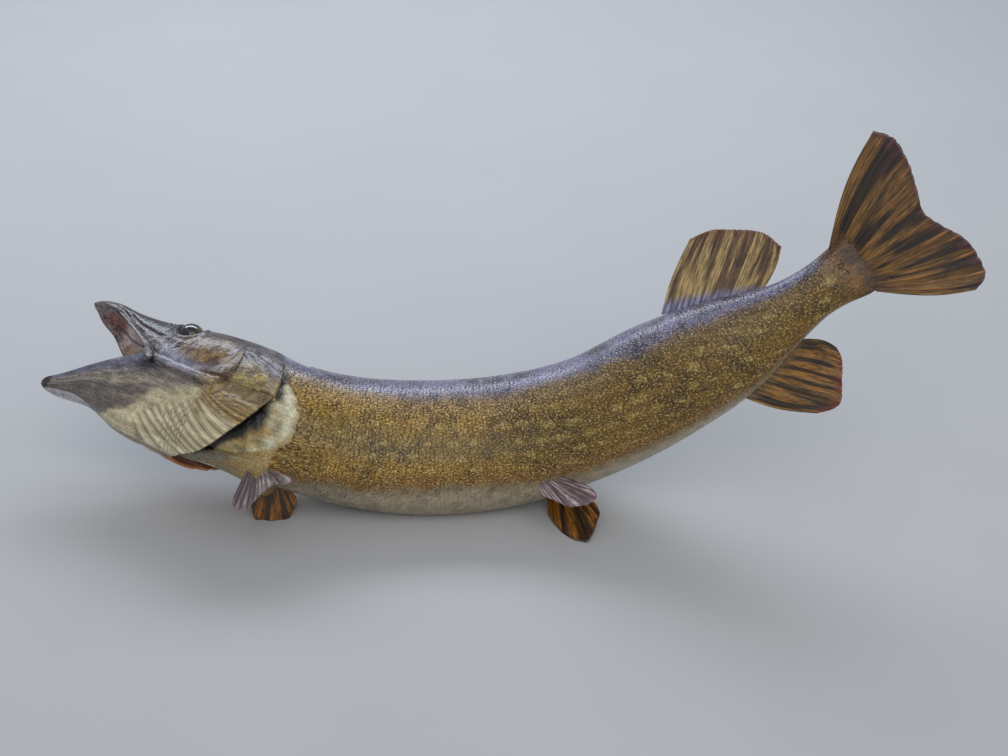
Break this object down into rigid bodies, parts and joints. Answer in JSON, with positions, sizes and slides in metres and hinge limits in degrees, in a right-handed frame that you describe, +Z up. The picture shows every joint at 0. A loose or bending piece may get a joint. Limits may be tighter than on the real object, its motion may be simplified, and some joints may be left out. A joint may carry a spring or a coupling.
{
  "type": "mounted northern pike",
  "caption": "Life-size mounted pike lying on its right side in a slow S-curve, mouth open, gill covers flared, tail raised.",
  "frame": {"origin": "middle of the specimen's outer box, on the surface it rests on", "axes": "+X from the head's side to the tail's, +Y away from the shown left flank, +Z up"},
  "size_m": [0.9322, 0.2579, 0.3859],
  "materials": {
    "head": "varnished skin, violet-grey with brown",
    "jaw": "varnished skin, grey with a dark rim",
    "gill_cover": "varnished skin, lilac above and olive below",
    "throat": "varnished skin, pale yellow-grey, ribbed",
    "flank": "varnished scaled skin, golden brown",
    "fin": "varnished fin, amber with dark rays",
    "pale_fin": "varnished fin, grey-lilac",
    "eye": "polished glass eye with a gold rim"
  },
  "bodies": {
    "root": {"head_upper": "head", "lower_jaw": "jaw", "eye_left": "eye", "eye_right": "eye", "gill_cover_left": "gill_cover", "gill_cover_right": "gill_cover", "gill_membrane_left": "throat", "gill_membrane_right": "throat", "trunk_front": "flank", "trunk_middle": "flank", "trunk_rear": "flank", "tail_stalk": "flank", "dorsal_fin": "fin", "anal_fin": "fin", "tail_fin": "fin", "pectoral_fin_left": "pale_fin", "pectoral_fin_right": "fin", "pelvic_fin_left": "pale_fin", "pelvic_fin_right": "fin"}
  },
  "joints": []
}
